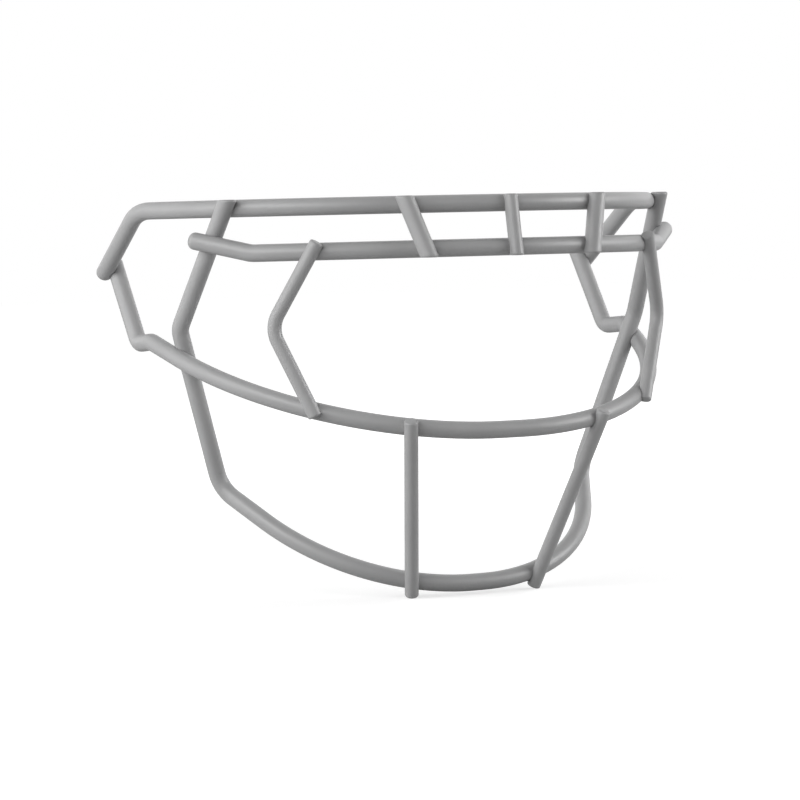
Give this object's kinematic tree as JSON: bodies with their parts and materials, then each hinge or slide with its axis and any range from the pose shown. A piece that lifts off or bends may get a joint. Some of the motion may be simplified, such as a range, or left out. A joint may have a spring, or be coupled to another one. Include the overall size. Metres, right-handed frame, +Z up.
{
  "type": "football helmet facemask",
  "caption": "Open wire cage facemask for a football helmet: bent, welded and coated steel bars with brow struts, eye guards and mouth bars.",
  "frame": {"origin": "centre of the mask's bounding box", "axes": "+X to the wearer's left, -Y forward out of the face, +Z up as worn; the mask is symmetric about the X = 0 plane"},
  "size_m": [0.2538, 0.149, 0.1694],
  "materials": {
    "coating": "satin grey dipped plastic coating",
    "wire": "drawn steel wire, hidden under the coating",
    "weld": "resistance weld nugget, hidden inside the crossing"
  },
  "bodies": {
    "root": {"brow_bar_coating": "coating", "brow_bar_wire": "wire", "centre_brow_strut_coating": "coating", "centre_brow_strut_wire": "wire", "centre_strut_welds": "weld", "chin_bar_coating": "coating", "chin_bar_wire": "wire", "eye_guard_foot_welds": "weld", "eye_guard_top_welds": "weld", "jaw_welds": "weld", "left_brow_strut_coating": "coating", "left_brow_strut_wire": "wire", "left_eye_guard_coating": "coating", "left_eye_guard_wire": "wire", "left_mouth_bar_coating": "coating", "left_mouth_bar_wire": "wire", "leg_top_welds": "weld", "middle_bar_coating": "coating", "middle_bar_wire": "wire", "mouth_bar_foot_welds": "weld", "mouth_bar_top_welds": "weld", "right_brow_strut_coating": "coating", "right_brow_strut_wire": "wire", "right_eye_guard_coating": "coating", "right_eye_guard_wire": "wire", "right_mouth_bar_coating": "coating", "right_mouth_bar_wire": "wire", "strut_foot_welds": "weld", "strut_top_welds": "weld", "top_bar_coating": "coating", "top_bar_wire": "wire", "upright_brow_welds": "weld", "upright_top_welds": "weld"}
  },
  "joints": []
}
